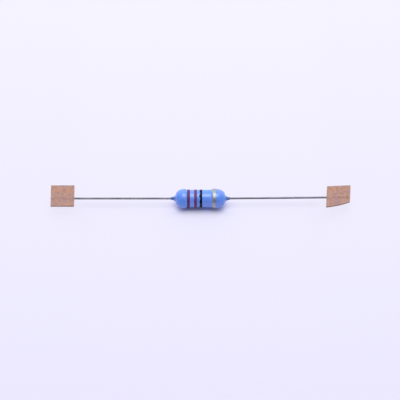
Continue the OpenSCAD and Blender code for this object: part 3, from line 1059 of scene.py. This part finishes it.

# %% [markdown]
# ## Floor, light and camera
#
# The part lies on a pale sheet with a trace of lavender. Its colour is painted a little paler
# towards the back and darker towards the front, as the light falls off. Right under the body the
# sheet is plainly lit, so it keeps the body's shadow. Further out it adds some light of its own
# for the eye and for mirrors, and under the tabs it adds more, so that shadows soon fade there, as
# on a light table. One softbox hangs nearly overhead, and a dome fills the rest: bright low
# behind, faint at the sides and dark in front. That leaves the wires a dark line with a bright
# edge, as bare metal shows on a white table. The camera looks down steeply through a long lens,
# so that the part's own perspective hardly shows.

# %% Finish of the floor
FADE = 60 * mm                # half the depth over which the painted fall of light changes the floor's tone
SHEET_GLOW = 0.6              # share of the sheet's own light away from the body
TAB_GLOW = 0.93               # and under the tabs, where it fills their shadows
ALONG_FROM, ALONG_TO = 4 * mm, 11 * mm       # where the first grows, along the wires
AHEAD_FROM, AHEAD_TO = 1.8 * mm, 4.8 * mm    # and in front of the body and behind it
TABS_FROM, TABS_TO = 28 * mm, 33 * mm        # where the second grows, along the wires
LIT = 1.03                    # how bright the lit sheet is, against its written tone


def bench_paper(tree, place):
    """A pale matt sheet, painted paler towards the back, that glows a little away from the body."""
    xyz = add(tree, "ShaderNodeSeparateXYZ", {0: place}).outputs
    # Painted light: the floor's colour is paler towards the back and darker towards the front.
    depth = add(tree, "ShaderNodeMapRange", {
        "Value": xyz["Y"], "From Min": -FADE, "From Max": FADE})
    tone = add(tree, "ShaderNodeMix", {"Factor": depth, "A": "#E9E6FB", "B": "#F2F0FD"},
               data_type="RGBA")
    sheet = add(tree, "ShaderNodeBsdfPrincipled", {
        "Base Color": tone, "Roughness": 0.9, "Specular IOR Level": 0.1})
    glow = add(tree, "ShaderNodeEmission", {"Color": tone, "Strength": LIT})
    ray = add(tree, "ShaderNodeLightPath").outputs
    direct = add(tree, "ShaderNodeMath", {
        0: ray["Is Camera Ray"], 1: ray["Is Glossy Ray"]}, operation="MAXIMUM")
    side = add(tree, "ShaderNodeMath", {0: xyz["X"]}, operation="ABSOLUTE")
    along = add(tree, "ShaderNodeMapRange", {
        "Value": side, "From Min": ALONG_FROM, "From Max": ALONG_TO, "To Max": SHEET_GLOW})
    front = add(tree, "ShaderNodeMath", {0: xyz["Y"]}, operation="ABSOLUTE")
    ahead = add(tree, "ShaderNodeMapRange", {
        "Value": front, "From Min": AHEAD_FROM, "From Max": AHEAD_TO, "To Max": SHEET_GLOW})
    off_body = add(tree, "ShaderNodeMath", {0: along, 1: ahead}, operation="MAXIMUM")
    under_tabs = add(tree, "ShaderNodeMapRange", {
        "Value": side, "From Min": TABS_FROM, "From Max": TABS_TO,
        "To Max": TAB_GLOW - SHEET_GLOW}, interpolation_type="SMOOTHSTEP")
    grown = add(tree, "ShaderNodeMath", {0: off_body, 1: under_tabs}, operation="ADD")
    share = add(tree, "ShaderNodeMath", {0: direct, 1: grown}, operation="MULTIPLY")
    return add(tree, "ShaderNodeMixShader", {0: share, 1: sheet, 2: glow})


bench_finish = make_finish("pale_bench_paper", bench_paper)

# %% The floor
FLOOR_HALF = 1.5
bench = bpy.data.meshes.new("bench")
bench.from_pydata([(x * FLOOR_HALF, y * FLOOR_HALF, floor_z)
                   for x, y in ((-1, -1), (1, -1), (1, 1), (-1, 1))], [], [(0, 1, 2, 3)])
bench.materials.append(bench_finish)
floor = bpy.data.objects.new("bench", bench)
bpy.context.scene.collection.objects.link(floor)
floor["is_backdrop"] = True
print(f"The floor lies at {floor_z / mm:.2f} mm")

# %% The softbox
SOFTBOX_HEIGHT = 0.9
SOFTBOX_SIDE = 0.65
SOFTBOX_BACK = 0.08           # how far behind the part its middle hangs
SOFTBOX_WATTS = 5.0
softbox = bpy.data.lights.new("softbox", "AREA")
softbox.shape = "SQUARE"
softbox.size = SOFTBOX_SIDE
softbox.energy = SOFTBOX_WATTS
lamp = bpy.data.objects.new("softbox", softbox)
lamp.location = (0, SOFTBOX_BACK, SOFTBOX_HEIGHT)
bpy.context.scene.collection.objects.link(lamp)
print(f"The softbox gives {SOFTBOX_WATTS:.1f} W from {SOFTBOX_HEIGHT:.1f} m")

# %% The dome
TOP_FROM, TOP_TO = 0.3, 0.95     # heights on a dome of radius 1 between which it brightens
TOP_LOW, TOP_LIGHT = 0.02, 0.4   # its strength low down, and overhead
BACK_FROM, BACK_TO = 0.1, 0.95   # distances behind the part, on the same dome
BACK_LIGHT = 1.3                 # strength added behind
SIDE_FROM, SIDE_TO = 0.35, 0.85  # distances to each side
SIDE_LIGHT = 0.25                # strength added at the sides
world = bpy.data.worlds.new("studio_dome")
bpy.context.scene.world = world
world.use_nodes = True
dome = world.node_tree
dome.nodes.clear()
place = add(dome, "ShaderNodeTexCoord").outputs["Generated"]
sky = add(dome, "ShaderNodeSeparateXYZ", {0: place}).outputs
overhead = add(dome, "ShaderNodeMapRange", {
    "Value": sky["Z"], "From Min": TOP_FROM, "From Max": TOP_TO, "To Min": TOP_LOW,
    "To Max": TOP_LIGHT}, interpolation_type="SMOOTHSTEP")
behind = add(dome, "ShaderNodeMapRange", {
    "Value": sky["Y"], "From Min": BACK_FROM, "From Max": BACK_TO, "To Max": BACK_LIGHT})
sideways = add(dome, "ShaderNodeMath", {0: sky["X"]}, operation="ABSOLUTE")
beside = add(dome, "ShaderNodeMapRange", {
    "Value": sideways, "From Min": SIDE_FROM, "From Max": SIDE_TO, "To Max": SIDE_LIGHT},
    interpolation_type="SMOOTHSTEP")
around = add(dome, "ShaderNodeMath", {0: behind, 1: beside}, operation="ADD")
strength = add(dome, "ShaderNodeMath", {0: overhead, 1: around}, operation="ADD")
backdrop = add(dome, "ShaderNodeBackground", {"Color": "#F6F5FF", "Strength": strength})
add(dome, "ShaderNodeOutputWorld", {"Surface": backdrop})
print("The dome has", len(dome.nodes), "nodes")

# %% The camera
FRAME_WIDTH = 101.5 * mm      # what the picture spans at the part
LENS_MM = 800
AIM = Vector((-0.1, -0.38)) * mm     # sideways and upwards in the picture, from the part's origin
lens = bpy.data.cameras.new("long_lens")
lens.lens = LENS_MM
distance = FRAME_WIDTH * LENS_MM / lens.sensor_width
lens.clip_start = distance / 10
lens.clip_end = 10
eye = bpy.data.objects.new("long_lens", lens)
eye.rotation_euler = (pi / 2 - VIEW_UP, 0, 0)
eye.location = eye.rotation_euler.to_matrix() @ Vector((*AIM, distance))
bpy.context.scene.collection.objects.link(eye)
bpy.context.scene.camera = eye
bpy.context.scene.view_settings.view_transform = "Standard"
print(f"The camera stands {distance / mm:.0f} mm away")

# %% [markdown]
# ## The last measurements
#
# The dressed part has to stay inside the box of its solids, so both boxes are written out side
# by side.

# %% Boxes, and the end
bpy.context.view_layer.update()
for label, corners in (("CAD", cad_box), ("dressed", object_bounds())):
    low, high = corners
    print(label, "box:", [f"{a / mm:.3f}..{b / mm:.3f}" for a, b in zip(low, high)])
